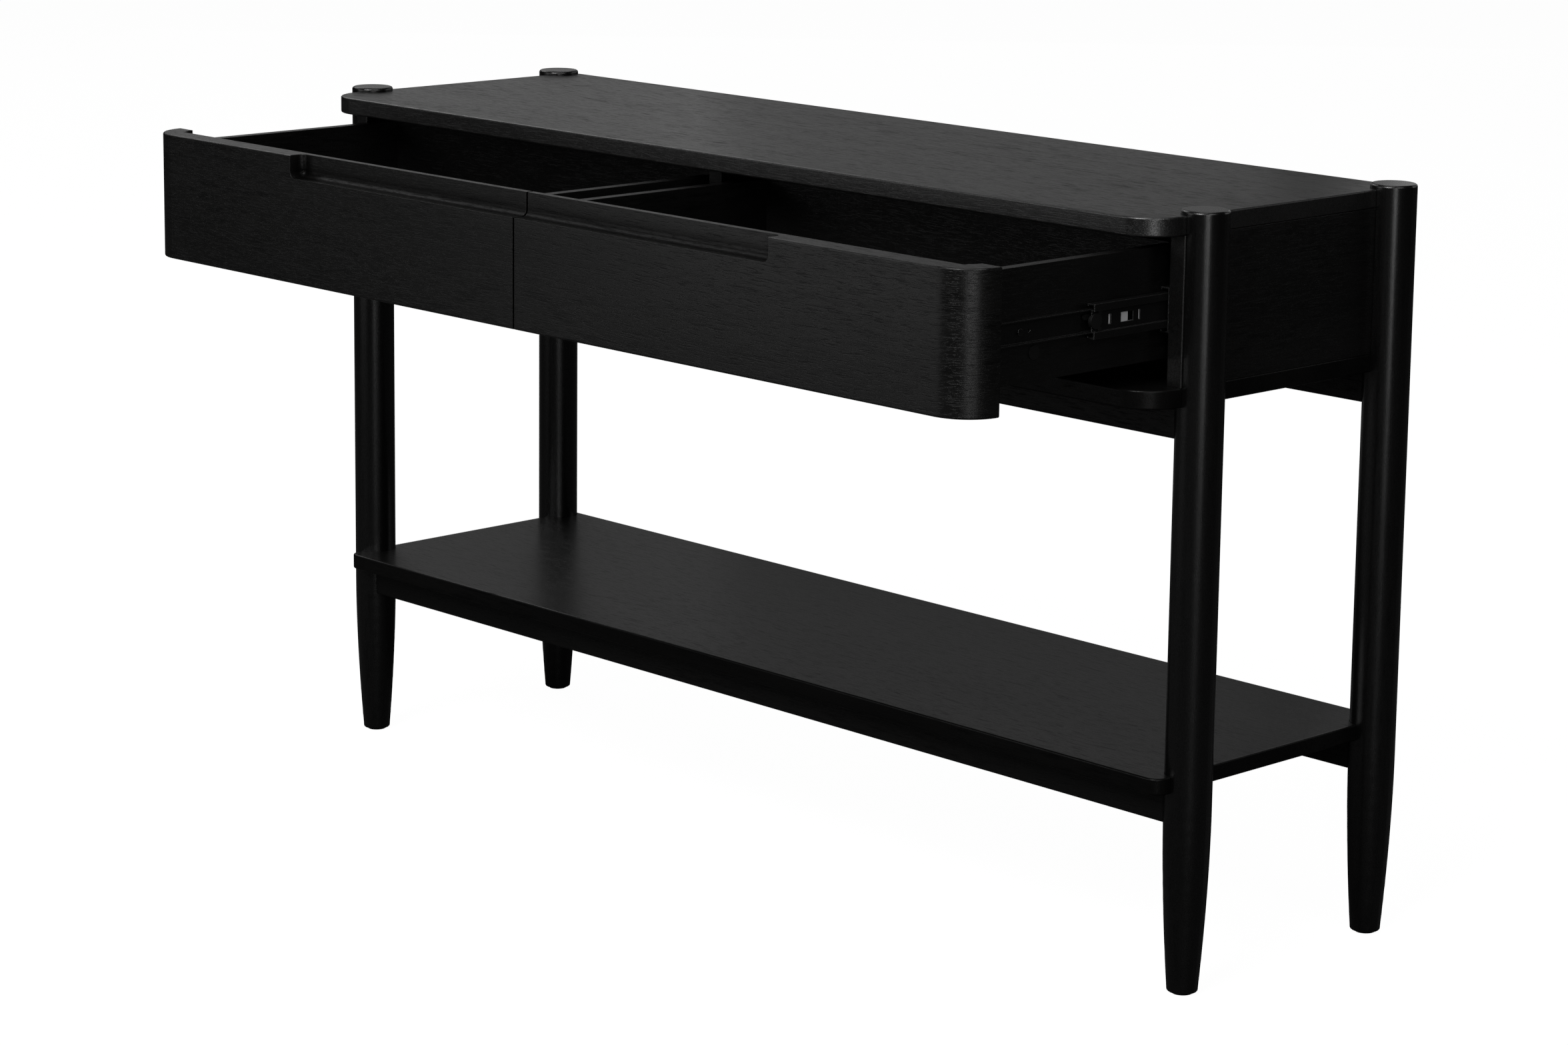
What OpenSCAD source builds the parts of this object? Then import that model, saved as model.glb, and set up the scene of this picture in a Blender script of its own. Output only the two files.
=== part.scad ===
// Console table with two wrapped-front drawers, four turned legs and a low shelf.
// Everything is in millimetres. +Z is up and the drawer fronts face -Y.
// The origin is on the floor, at the middle of the table's outline with both drawers pulled out.

/* [Overall] */
// Length over the legs
table_w = 1400; // [1200:10:1600]
// Height from the floor to the tops of the legs
table_h = 820; // [760:5:900]
// Distance between the front and back leg axes
leg_spacing = 302; // [290:2:340]
// Gap left between two fixed pieces that seat on each other
seat_gap = 0.2; // [0.1:0.05:0.4]
// Radius of the softened edges of the panels, fronts, aprons and rails
edge_round = 2; // [1:0.5:2.5]

/* [Legs] */
// Diameter of a leg
leg_d = 50; // [44:1:56]
// Diameter of a leg at the floor
foot_d = 32.4; // [26:0.2:40]
// Height over which a leg tapers
taper_h = 195; // [120:5:200]
// How strongly the taper curves, 1 is a straight cone
taper_power = 1.8; // [1:0.1:2.4]
// How far a leg stands above the table top
leg_proud = 5; // [2:0.5:10]
// Rounding of a leg's upper rim
cap_round = 3; // [1:0.5:3]
// Rounding of a leg's lower rim
foot_round = 2.5; // [1:0.5:4]
// How far the flat that seats an end panel lies inside the leg axis
flat_in = 3; // [0:0.5:8]
// Diameter of a floor glide
glide_d = 22; // [14:1:24]
// Thickness of a floor glide
glide_t = 2; // [1:0.5:5]
// Diameter of a glide's pin
glide_pin_d = 5; // [4:0.5:6]
// Length of a glide's pin
glide_pin_len = 14; // [8:1:25]

/* [Case] */
// Thickness of the table top
top_t = 20; // [16:1:25]
// Thickness of the panel under the drawers
bottom_t = 20; // [16:1:25]
// Thickness of an end panel
side_t = 20; // [18:1:22]
// Clear height between the table top and the panel under the drawers
case_h = 155; // [150:1:180]
// How far the table top reaches ahead of the legs
front_overhang = 49; // [46:1:60]
// How far the panels stop short of the back of the legs
back_inset = 4; // [0:1:6]
// Radius of the front corners of the top, the bottom panel and the drawer fronts
corner_r = 45; // [40:1:46]
// Thickness of the panel between the drawers
partition_t = 20; // [18:1:24]
// Thickness of the back panel
back_t = 8; // [6:1:10]
// Depth of the groove that holds the back panel
back_groove = 4; // [2:1:6]
// Distance from the back edge to the back panel
back_set = 6; // [4:1:8]

/* [Rails and shelf] */
// Height of the aprons and the shelf rails
bar_h = 36; // [28:1:45]
// Thickness of the aprons and the shelf rails
bar_t = 30; // [20:1:34]
// Height of the underside of the shelf above the floor
shelf_z = 217; // [210:1:280]
// Thickness of the shelf
shelf_t = 18; // [15:1:22]
// How far the shelf reaches ahead of the legs
shelf_overhang = 20; // [16:1:40]
// Radius of the shelf's front corners
shelf_corner_r = 15; // [5:1:16]

/* [Drawer fronts] */
// Thickness of a drawer front
front_t = 27; // [24:1:30]
// Gap above and below a drawer front
front_gap = 4; // [2:0.5:6]
// Gap between the two drawer fronts
seam_gap = 2.5; // [1.5:0.5:4]
// Gap between a closed front's wrapped end and the end panel
wrap_gap = 2; // [1:0.5:3]
// Length of one front's finger recess, from the middle of the table
pull_len = 394; // [200:2:450]
// Height of the finger recess
pull_h = 26; // [20:1:32]
// Depth of the finger recess's flat ledge
pull_ledge = 11.5; // [10:0.5:13]
// Radius of the cove behind the ledge and of the recess's lower corner
pull_cove = 7.5; // [5:0.5:8]

/* [Drawer boxes] */
// How far both drawers are pulled out
drawer_open = 263; // [60:1:290]
// Height of a drawer box
box_h = 116; // [100:1:118]
// Height of a drawer box above the panel under it
box_lift = 25; // [12:1:26]
// Depth of a drawer box behind its front
box_len = 323; // [310:1:340]
// Thickness of a drawer box's sides and back
box_t = 12; // [10:1:14]
// Thickness of a drawer's base
base_t = 6; // [4:1:8]
// Height of the base above the lower edge of the box
base_up = 10; // [8:1:16]
// Depth of the groove that holds the base
base_groove = 4; // [2:1:5]

/* [Slides] */
// Length of a slide, which is also its travel
slide_len = 300; // [290:5:305]
// Width of the space that a slide fills
slide_t = 12.7; // [12.7:0.1:13.2]
// Height of a slide's outer member
slide_h = 46; // [46:0.5:48]
// Height of a slide's middle line above the lower edge of the box
slide_up = 52; // [45:1:56]
// Thickness of the pressed steel
sheet_t = 1.2; // [1:0.1:1.3]
// Diameter of a bearing ball
ball_d = 3.6; // [3.2:0.1:3.7]
// Running clearance on each side of a ball and between members
run_gap = 0.3; // [0.2:0.05:0.4]
// How much shorter the middle member is than the slide
mid_short = 25; // [20:1:40]
// How far the closed middle member's front end lies behind the outer member's
mid_setback = 22.5; // [10:0.5:24]
// Length of the cage that runs in the outer member
outer_cage_len = 130; // [80:5:130]
// Length of the cage that runs in the middle member
inner_cage_len = 108; // [70:2:108]
// Distance from one ball to the next
ball_pitch = 24; // [16:1:30]
// Length of a middle member's detent plate
plate_len = 60; // [50:2:80]
// Distance from a drawer member's front end to its release lever's window
window_at = 144; // [130:1:150]
// Length of that window
window_len = 28; // [20:1:30]
// Width of a release lever
lever_w = 5.6; // [4:0.2:7]
// Thickness of a release lever
lever_t = 1.6; // [1:0.1:2]
// Diameter of the bumper on a middle member's front end
bumper_d = 16; // [12:0.5:18]
// How far that bumper reaches ahead of the middle member
bumper_lead = 2.5; // [1:0.5:4]

/* [Fasteners] */
// Diameter of the dowels in the case and the legs
dowel_d = 8; // [6:1:10]
// Length of those dowels
dowel_len = 30; // [24:1:34]
// Diameter of the dowels in the drawer boxes
box_dowel_d = 6; // [5:0.5:7]
// Length of the drawer box dowels
box_dowel_len = 22; // [16:1:24]
// Clearance round a fastener in its hole
hole_gap = 0.1; // [0.05:0.05:0.2]
// Diameter of the leg bolts
bolt_d = 6; // [5:0.5:8]
// Diameter of a leg bolt's head
bolt_head_d = 13; // [11:0.5:16]
// Thickness of a leg bolt's head
bolt_head_t = 3; // [2:0.5:4]
// Outer diameter of a threaded insert
insert_d = 10; // [9.5:0.5:12]
// Length of a threaded insert
insert_len = 15; // [12:1:18]
// Diameter of the screws that hold the slides
slide_screw_d = 3.5; // [3:0.1:4]
// Head diameter of the screws that hold the slides
slide_screw_head_d = 7; // [6:0.5:8]
// Head thickness of the screws that hold the slides
slide_screw_head_t = 2; // [1.5:0.1:2.2]
// How far a slide screw goes into the wood
slide_screw_grip = 8.5; // [6:0.5:9]
// Diameter of the screws through the aprons and rails
bar_screw_d = 4.5; // [4:0.1:5]
// Head diameter of the screws through the aprons and rails
bar_screw_head_d = 9; // [8:0.5:10]
// How far those screws go into the panel above
bar_screw_grip = 11; // [8:1:14]
// Diameter of the cover cap on an outer drawer side
plug_d = 15; // [12:1:18]
// Distance of the cover cap behind the drawer front
plug_back = 100; // [70:2:120]
// Thickness of the cover cap's rim
plug_rim_t = 0.8; // [0.5:0.1:1.5]

/* [Hidden] */
$fn = 72;
e = 0.01;

leg_r = leg_d / 2;
foot_r = foot_d / 2;
leg_x = table_w / 2 - leg_r;
leg_y = leg_spacing / 2;
side_plane = leg_x - flat_in;

top_z = table_h - leg_proud;
top_under = top_z - top_t;
floor_z = top_under - case_h;
case_z = floor_z - bottom_t;

front_y = -(leg_y + leg_r + front_overhang);
back_y = leg_y + leg_r - back_inset;
side_front_y = front_y + corner_r + wrap_gap;
back_panel_y = back_y - back_set - back_t;
shelf_front_y = -(leg_y + leg_r + shelf_overhang);

// The outline's middle, with both drawers pulled out by drawer_open
centre_y = (-(front_y - drawer_open) - (leg_y + leg_r)) / 2;

front_z = floor_z + front_gap;
front_h = case_h - 2 * front_gap;
box_z = floor_z + box_lift;
box_front_y = front_y + front_t;
box_back_y = box_front_y + box_len;
box_in_x = partition_t / 2 + slide_t;
box_out_x = side_plane - side_t - slide_t;
base_z = box_z + base_up;

slide_z = box_z + slide_up;
slide_front_y = side_front_y + 1;
mid_len = slide_len - mid_short;
mid_front_y = slide_front_y + mid_setback;
outer_cage_y = slide_front_y + slide_len / 4 + 7;
inner_cage_y = mid_front_y + slide_len / 4 + 7;

// The slide's section: x runs from the drawer side (0) to the cabinet side (slide_t)
outer_flange_z = slide_h / 2 - sheet_t;
outer_ball_z = outer_flange_z - run_gap - ball_d / 2;
mid_top_z = outer_ball_z - ball_d / 2 - run_gap;
inner_ball_z = mid_top_z - sheet_t - run_gap - ball_d / 2;
inner_top_z = inner_ball_z - ball_d / 2 - run_gap;
mid_band_x = slide_t - sheet_t - 0.6;
mid_web_x = 7.7;
mid_step_z = inner_top_z - 0.5;
inner_flange_x = mid_web_x - sheet_t - run_gap;
outer_ball_x = 7.2;
inner_ball_x = 4.6;
cage_t = 1;

slide_screw_at = [60, 150, 250];
member_screw_at = [56, window_at + window_len + 20, 270];
member_spare_at = [70, 230];
leg_bolt_up = [30, 125];
leg_bolt_len = side_t + 18;
insert_in = 1;
box_dowel_up = [32, 96];
case_dowel_at = [0.2, 0.5, 0.8];
bar_dowel_up = [0.28, 0.72];
bar_screw_at = [-0.6, -0.2, 0.2, 0.6];
plug_y = box_front_y + plug_back;
// Start and length of each window in a middle member's web
mid_windows = [[24.5, 3.5], [43, 18], [69, 2.5], [120, 30], [200, 30]];
plate_at = 16;
plate_slot = [38.5, 9];
lever_z = 4.2;
lever_end = window_at + window_len + 10;
plug_up = 29;
plug_len = 7;

wood = "#1b1a19";
steel = "#3a3b3d";
zinc = "#b9bcc0";
beech = "#c9a877";
nylon = "#202022";

// Placing

// Moves a piece from the table's own middle to the model's origin
module placed() {
    translate([0, centre_y, 0]) children();
}

// The same for what slides, which goes the stated part of the drawer's way out
module drawn_out(part) {
    translate([0, centre_y - part * drawer_open, 0]) children();
}

// Draws for the right end (1) or mirrored for the left end (-1)
module at_end(end) {
    if (end > 0) children();
    else mirror([1, 0, 0]) children();
}

// A round bar along X, Y or Z that starts at p
module bar_x(p, d, len) {
    translate(p) rotate([0, 90, 0]) cylinder(d = d, h = len);
}

module bar_y(p, d, len) {
    translate(p) rotate([-90, 0, 0]) cylinder(d = d, h = len);
}

module bar_z(p, d, len) {
    translate(p) cylinder(d = d, h = len);
}

// Legs

function taper_r(z) = leg_r - (leg_r - foot_r) * pow(1 - min(z, taper_h) / taper_h, taper_power);

// Half section of a leg: curved taper, straight shaft and rounded rims
module leg_section() {
    steps = 12;
    shaft = [for (i = [0:steps]) let (z = foot_round + glide_t + i * (taper_h - foot_round) / steps)
        [taper_r(z - glide_t), z]];
    polygon(concat([[0, foot_round + glide_t]], shaft,
        [[leg_r, table_h - cap_round], [0, table_h - cap_round]]));
    translate([0, table_h - cap_round - e]) square([leg_r - cap_round, cap_round + e]);
    translate([leg_r - cap_round, table_h - cap_round]) intersection() {
        circle(cap_round);
        square(cap_round);
    }
    rim_r = taper_r(foot_round);
    translate([0, glide_t]) square([rim_r - foot_round, foot_round + e]);
    translate([rim_r - foot_round, glide_t + foot_round]) intersection() {
        circle(foot_round);
        translate([0, -foot_round]) square(foot_round);
    }
}

// Holes for the glide's pin, the bolts' inserts and the bars' dowels, towards -X
module leg_holes() {
    bar_z([0, 0, glide_t - e], glide_pin_d + 2 * hole_gap, glide_pin_len + 1);
    flat_x = -flat_in + seat_gap;
    for (up = leg_bolt_up) {
        bar_x([flat_x - e, 0, floor_z + up], insert_d + 2 * hole_gap, insert_in + insert_len + 6);
    }
    for (z = [case_z - bar_h, shelf_z - bar_h], up = bar_dowel_up) {
        bar_x([-leg_r - 1, 0, z + bar_h * up], dowel_d + 2 * hole_gap, 1 + dowel_len / 2 + 1);
    }
}

// A leg with its flat towards -X
module leg_blank() {
    color(wood) difference() {
        rotate_extrude() leg_section();
        translate([-leg_r - 1, -leg_r - 1, floor_z - seat_gap])
            cube([leg_r + 1 - flat_in + seat_gap, leg_d + 2, case_h + 2 * seat_gap]);
        leg_holes();
    }
}

module leg(end, row) {
    placed() at_end(end) translate([leg_x, row * leg_y, 0]) leg_blank();
}

module leg_front_left() { leg(-1, -1); }
module leg_front_right() { leg(1, -1); }
module leg_back_left() { leg(-1, 1); }
module leg_back_right() { leg(1, 1); }

module floor_glides() {
    color(nylon) placed() for (end = [-1, 1], row = [-1, 1]) translate([end * leg_x, row * leg_y, 0]) {
        cylinder(d = glide_d, h = glide_t);
        cylinder(d = glide_pin_d, h = glide_t + glide_pin_len);
    }
}

// Case

// A rectangle from the origin, with its two lower corners softened
module softened_rect(w, h) {
    r = edge_round;
    translate([0, r]) square([w, h - r]);
    translate([r, 0]) square([w - 2 * r, r + e]);
    for (x = [r, w - r]) translate([x, r]) circle(r);
}

// Outline of a panel with rounded front corners
module panel_outline(half_w, front, back, r) {
    translate([-half_w, front + r]) square([2 * half_w, back - front - r]);
    translate([-half_w + r, front]) square([2 * (half_w - r), r + e]);
    for (end = [-1, 1]) translate([end * (half_w - r), front + r]) circle(r);
}

// A quarter of a ring of radius r, as thick as a softened edge, for the right front corner
module corner_edge(r) {
    rotate([0, 0, -90]) rotate_extrude(angle = 90) translate([r - edge_round, 0]) circle(edge_round);
}

// A level panel whose edges are softened above and below
module soft_panel(half_w, front, back, r, z, t) {
    s = edge_round;
    translate([0, 0, z]) linear_extrude(t)
        panel_outline(half_w - s, front + s, back - s, r - s);
    translate([0, 0, z + s]) linear_extrude(t - 2 * s) {
        panel_outline(half_w, front, back - s, r);
        translate([-half_w + s, back - s - e]) square([2 * (half_w - s), s + e]);
        for (end = [-1, 1]) translate([end * (half_w - s), back - s]) circle(s);
    }
    for (h = [z + s, z + t - s]) {
        bar_x([-half_w + r, front + s, h], 2 * s, 2 * (half_w - r));
        bar_x([-half_w + s, back - s, h], 2 * s, 2 * (half_w - s));
        for (end = [-1, 1]) at_end(end) {
            bar_y([half_w - s, front + r, h], 2 * s, back - s - front - r);
            translate([half_w - s, back - s, h]) sphere(s);
            translate([half_w - r, front + r, h]) corner_edge(r);
        }
    }
}

// Half-round notches that let the legs pass a panel between z and z + t
module leg_notches(z, t) {
    for (end = [-1, 1], row = [-1, 1]) {
        bar_z([end * leg_x, row * leg_y, z - 1], leg_d + 2 * seat_gap, t + 2);
    }
}

// Where the dowels of the upright panels stand, seen from above
function upright_dowels(x, y0, y1) = [for (s = case_dowel_at) [x, y0 + s * (y1 - y0)]];

function all_upright_dowels() = concat(
    upright_dowels(-side_plane + side_t / 2, side_front_y, back_panel_y),
    upright_dowels(0, box_front_y + 2, back_panel_y),
    upright_dowels(side_plane - side_t / 2, side_front_y, back_panel_y));

// How deep a case dowel goes into the top or the bottom panel
function dowel_in_panel() = dowel_len / 3;

module top_panel() {
    color(wood) placed() difference() {
        soft_panel(side_plane, front_y, back_y, corner_r, top_under, top_t);
        leg_notches(top_under, top_t);
        back_slot(top_under - e, back_groove + e);
        for (p = all_upright_dowels()) {
            bar_z([p[0], p[1], top_under - e], dowel_d + 2 * hole_gap, dowel_in_panel() + 0.5);
        }
    }
}

// The groove for the back panel in the top or the bottom panel
module back_slot(z, h) {
    half = side_plane - side_t + back_groove;
    translate([-half, back_panel_y - seat_gap, z]) cube([2 * half, back_t + 2 * seat_gap, h]);
}

module bottom_panel() {
    color(wood) placed() difference() {
        soft_panel(side_plane, front_y, back_y, corner_r, case_z, bottom_t);
        leg_notches(case_z, bottom_t);
        back_slot(floor_z - back_groove, back_groove + e);
        for (p = all_upright_dowels()) {
            bar_z([p[0], p[1], floor_z - dowel_in_panel() - 0.5], dowel_d + 2 * hole_gap,
                dowel_in_panel() + 0.5 + e);
        }
        for (row = [-1, 1], s = bar_screw_at) {
            bar_z([s * leg_x, row * leg_y, case_z - e], bar_screw_d + 2 * hole_gap,
                bar_screw_grip + 1);
        }
    }
}

module end_panel(end) {
    color(wood) placed() at_end(end) difference() {
        translate([side_plane - side_t, side_front_y, floor_z]) linear_extrude(case_h)
            softened_rect(side_t, back_y - side_front_y);
        translate([side_plane - side_t - e, back_panel_y - seat_gap, floor_z - 1])
            cube([back_groove + e, back_t + 2 * seat_gap, case_h + 2]);
        for (p = upright_dowels(side_plane - side_t / 2, side_front_y, back_panel_y)) {
            depth = dowel_len - dowel_in_panel() + 0.5;
            bar_z([p[0], p[1], floor_z - e], dowel_d + 2 * hole_gap, depth);
            bar_z([p[0], p[1], top_under - depth], dowel_d + 2 * hole_gap, depth + e);
        }
        for (row = [-1, 1], up = leg_bolt_up) {
            bar_x([side_plane - side_t - 1, row * leg_y, floor_z + up], bolt_d + 2 * hole_gap,
                side_t + 2);
        }
        slide_screw_holes(side_plane - side_t - e, slide_screw_grip + 1, slide_screw_at);
    }
}

module end_panel_left() { end_panel(-1); }
module end_panel_right() { end_panel(1); }

// A row of screw holes along a slide, from x towards +X
module slide_screw_holes(x, depth, at) {
    for (s = at) {
        bar_x([x, slide_front_y + s, slide_z], slide_screw_d + 2 * hole_gap, depth);
    }
}

module back_panel() {
    half = side_plane - side_t + back_groove - seat_gap;
    color(wood) placed() difference() {
        translate([-half, back_panel_y, floor_z - back_groove + seat_gap])
            cube([2 * half, back_t, case_h + 2 * (back_groove - seat_gap)]);
        // room for the full round of the back legs above and below the case
        for (end = [-1, 1], z = [floor_z - back_groove - 1, top_under]) {
            bar_z([end * leg_x, leg_y, z], leg_d + 2 * seat_gap, back_groove + 1);
        }
    }
}

module centre_partition() {
    color(wood) placed() difference() {
        y0 = box_front_y + 2;
        translate([-partition_t / 2, y0, floor_z])
            cube([partition_t, back_panel_y - seat_gap - y0, case_h]);
        for (p = upright_dowels(0, y0, back_panel_y)) {
            depth = dowel_len - dowel_in_panel() + 0.5;
            bar_z([p[0], p[1], floor_z - e], dowel_d + 2 * hole_gap, depth);
            bar_z([p[0], p[1], top_under - depth], dowel_d + 2 * hole_gap, depth + e);
        }
        slide_screw_holes(-partition_t / 2 - e, slide_screw_grip + 1, slide_screw_at);
        slide_screw_holes(partition_t / 2 - slide_screw_grip - 1, slide_screw_grip + 1 + e,
            slide_screw_at);
    }
}

module case_dowels() {
    color(beech) placed() for (p = all_upright_dowels()) {
        bar_z([p[0], p[1], floor_z - dowel_in_panel()], dowel_d, dowel_len);
        bar_z([p[0], p[1], top_under + dowel_in_panel() - dowel_len], dowel_d, dowel_len);
    }
}

// Aprons, shelf rails and shelf

// An apron or rail between two legs, with ends hollowed to the legs, softened lower edges and
// its upper face at z
module bar(row, z) {
    color(wood) placed() difference() {
        translate([-leg_x, row * leg_y - bar_t / 2, z - bar_h]) rotate([90, 0, 90])
            linear_extrude(2 * leg_x) softened_rect(bar_t, bar_h);
        for (end = [-1, 1]) {
            bar_z([end * leg_x, row * leg_y, z - bar_h - 1], leg_d + 2 * seat_gap, bar_h + 2);
            for (up = bar_dowel_up) {
                bar_x([end * (leg_x - leg_r - dowel_len / 4 + 2) - dowel_len / 4 - 3,
                    row * leg_y, z - bar_h + bar_h * up], dowel_d + 2 * hole_gap, dowel_len / 2 + 6);
            }
        }
        for (s = bar_screw_at) {
            bar_z([s * leg_x, row * leg_y, z - bar_h - 1], bar_screw_d + 2 * hole_gap, bar_h + 2);
            bar_z([s * leg_x, row * leg_y, z - bar_h - 1], bar_screw_head_d + 2 * hole_gap, 1 + 4);
        }
    }
}

module front_apron() { bar(-1, case_z); }
module rear_apron() { bar(1, case_z); }
module front_shelf_rail() { bar(-1, shelf_z); }
module rear_shelf_rail() { bar(1, shelf_z); }

// Dowels that join the aprons and rails to the legs
module bar_dowels() {
    color(beech) placed() for (end = [-1, 1], row = [-1, 1], z = [case_z, shelf_z], up = bar_dowel_up) {
        bar_x([end * (leg_x - leg_r) - dowel_len / 2, row * leg_y, z - bar_h + bar_h * up],
            dowel_d, dowel_len);
    }
}

// Screws up through the aprons and rails
module bar_screws() {
    color(zinc) placed() for (row = [-1, 1], z = [case_z, shelf_z], s = bar_screw_at) {
        translate([s * leg_x, row * leg_y, z - bar_h]) {
            cylinder(d = bar_screw_head_d, h = 4 - seat_gap);
            cylinder(d = bar_screw_d, h = bar_h + bar_screw_grip);
        }
    }
}

module shelf_panel() {
    color(wood) placed() difference() {
        soft_panel(side_plane, shelf_front_y, leg_y + leg_r - 1, shelf_corner_r, shelf_z, shelf_t);
        leg_notches(shelf_z, shelf_t);
        for (row = [-1, 1], s = bar_screw_at) {
            bar_z([s * leg_x, row * leg_y, shelf_z - e], bar_screw_d + 2 * hole_gap,
                bar_screw_grip + 1);
        }
    }
}

// Leg bolts

module each_leg_bolt() {
    for (end = [-1, 1], row = [-1, 1], up = leg_bolt_up) {
        placed() at_end(end) translate([side_plane - side_t, row * leg_y, floor_z + up]) children();
    }
}

module leg_bolts() {
    color(zinc) each_leg_bolt() rotate([0, 90, 0]) {
        translate([0, 0, -bolt_head_t]) difference() {
            cylinder(d = bolt_head_d, h = bolt_head_t);
            translate([0, 0, -e]) cylinder(d = bolt_d * 0.8, h = bolt_head_t * 0.7, $fn = 6);
        }
        cylinder(d = bolt_d, h = leg_bolt_len);
    }
}

module leg_inserts() {
    color("#b08d3c") each_leg_bolt() translate([side_t + seat_gap + insert_in, 0, 0])
        rotate([0, 90, 0]) difference() {
            cylinder(d = insert_d, h = insert_len);
            translate([0, 0, -e]) cylinder(d = bolt_d + 2 * hole_gap, h = insert_len + 1);
        }
}

// Slides

// Upper half of the outer member's section
module cabinet_half() {
    translate([slide_t - sheet_t, 0]) square([sheet_t, slide_h / 2]);
    translate([2, outer_flange_z]) square([slide_t - 2, sheet_t]);
    translate([2, outer_flange_z - sheet_t]) square([sheet_t, sheet_t + e]);
}

// Upper half of the middle member's section
module middle_half() {
    translate([mid_web_x - sheet_t, 0]) square([sheet_t, mid_step_z]);
    translate([mid_web_x - sheet_t, mid_step_z - sheet_t])
        square([mid_band_x - mid_web_x + sheet_t, sheet_t]);
    translate([mid_band_x - sheet_t, mid_step_z - sheet_t])
        square([sheet_t, mid_top_z - mid_step_z + sheet_t]);
    translate([1.4, mid_top_z - sheet_t]) square([mid_band_x - 1.4, sheet_t]);
    translate([1.4, mid_top_z - 2 * sheet_t]) square([sheet_t, sheet_t + e]);
}

// Upper half of the drawer member's section
module drawer_half() {
    square([sheet_t, inner_top_z]);
    translate([0, inner_top_z - sheet_t]) square([inner_flange_x, sheet_t]);
}

// Runs a half section and its mirror image along Y, with x = 0 on the drawer's side
module member(y, len) {
    translate([0, y + len, slide_z]) rotate([90, 0, 0]) linear_extrude(len) {
        children();
        mirror([0, 1, 0]) children();
    }
}

// Puts a slide's section on the outer (1) or the inner (-1) side of the right drawer
module on_side(face) {
    if (face > 0) translate([box_out_x, 0, 0]) children();
    else translate([box_in_x, 0, 0]) mirror([1, 0, 0]) children();
}

module cabinet_member(end, face) {
    color(steel) placed() at_end(end) on_side(face) difference() {
        member(slide_front_y, slide_len) cabinet_half();
        slide_screw_holes(slide_t - sheet_t - 1, sheet_t + 2, slide_screw_at);
        for (s = [30, 105, 200]) {
            translate([slide_t - sheet_t - 1, slide_front_y + s, slide_z - 2.5])
                cube([sheet_t + 2, 14, 5]);
        }
    }
}

module cabinet_member_left_outer() { cabinet_member(-1, 1); }
module cabinet_member_left_inner() { cabinet_member(-1, -1); }
module cabinet_member_right_outer() { cabinet_member(1, 1); }
module cabinet_member_right_inner() { cabinet_member(1, -1); }

module cabinet_screws() {
    color(zinc) placed() for (end = [-1, 1], face = [-1, 1]) at_end(end) on_side(face) {
        for (s = slide_screw_at) {
            x = slide_t - sheet_t - slide_screw_head_t;
            bar_x([x, slide_front_y + s, slide_z], slide_screw_head_d, slide_screw_head_t);
            bar_x([x, slide_front_y + s, slide_z], slide_screw_d,
                slide_screw_head_t + sheet_t + slide_screw_grip);
        }
    }
}

module middle_member(end, face) {
    color(steel) drawn_out(0.5) at_end(end) on_side(face) difference() {
        member(mid_front_y, mid_len) middle_half();
        // windows in the web
        for (w = mid_windows) {
            translate([mid_web_x - sheet_t - 1, mid_front_y + w[0], slide_z - 5])
                cube([sheet_t + 2, w[1], 10]);
        }
    }
}

module middle_member_left_outer() { middle_member(-1, 1); }
module middle_member_left_inner() { middle_member(-1, -1); }
module middle_member_right_outer() { middle_member(1, 1); }
module middle_member_right_inner() { middle_member(1, -1); }

// Bright spring plates riveted in the web's recess, which hold the drawer in when it is closed
module detent_plates(end) {
    color(zinc) drawn_out(0.5) at_end(end) for (face = [-1, 1]) on_side(face) {
        translate([mid_web_x - sheet_t - 0.8, mid_front_y + plate_at, slide_z - 7]) difference() {
            cube([0.8, plate_len, 14]);
            translate([-1, plate_slot[0], 2]) cube([3, plate_slot[1], 10]);
        }
    }
}

module detent_plates_left() { detent_plates(-1); }
module detent_plates_right() { detent_plates(1); }

// Round-nosed bumpers that sit on the web's front end and lie in its recess
module slide_bumpers(end) {
    r = bumper_d / 2;
    x0 = 4.8;
    x1 = mid_web_x + 1.4;
    color(nylon) drawn_out(0.5) at_end(end) for (face = [-1, 1]) on_side(face)
        translate([0, mid_front_y, slide_z]) {
            difference() {
                bar_x([x0, r - bumper_lead, 0], bumper_d, x1 - x0);
                translate([x0 - 1, 0, -r - 1]) cube([mid_web_x - x0 + 1, bumper_d, bumper_d + 2]);
            }
            for (half = [-1, 1]) {
                translate([mid_web_x, r, half * (r + 0.2) - 1.8]) cube([x1 - mid_web_x, 5, 3.6]);
            }
        }
}

module slide_bumpers_left() { slide_bumpers(-1); }
module slide_bumpers_right() { slide_bumpers(1); }

module drawer_member(end, face) {
    color(steel) drawn_out(1) at_end(end) on_side(face) difference() {
        member(slide_front_y, slide_len) drawer_half();
        slide_screw_holes(-1, sheet_t + 2, member_screw_at);
        slide_screw_holes(-1, sheet_t + 2, member_spare_at);
        translate([-1, slide_front_y + window_at, slide_z - 10]) cube([sheet_t + 2, window_len, 18]);
    }
}

module drawer_member_left_outer() { drawer_member(-1, 1); }
module drawer_member_left_inner() { drawer_member(-1, -1); }
module drawer_member_right_outer() { drawer_member(1, 1); }
module drawer_member_right_inner() { drawer_member(1, -1); }

module member_screws(end) {
    color(zinc) drawn_out(1) at_end(end) for (face = [-1, 1]) on_side(face) {
        for (s = member_screw_at) {
            bar_x([sheet_t, slide_front_y + s, slide_z], slide_screw_head_d, slide_screw_head_t);
            bar_x([-slide_screw_grip, slide_front_y + s, slide_z], slide_screw_d,
                slide_screw_grip + sheet_t + slide_screw_head_t);
        }
    }
}

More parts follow.
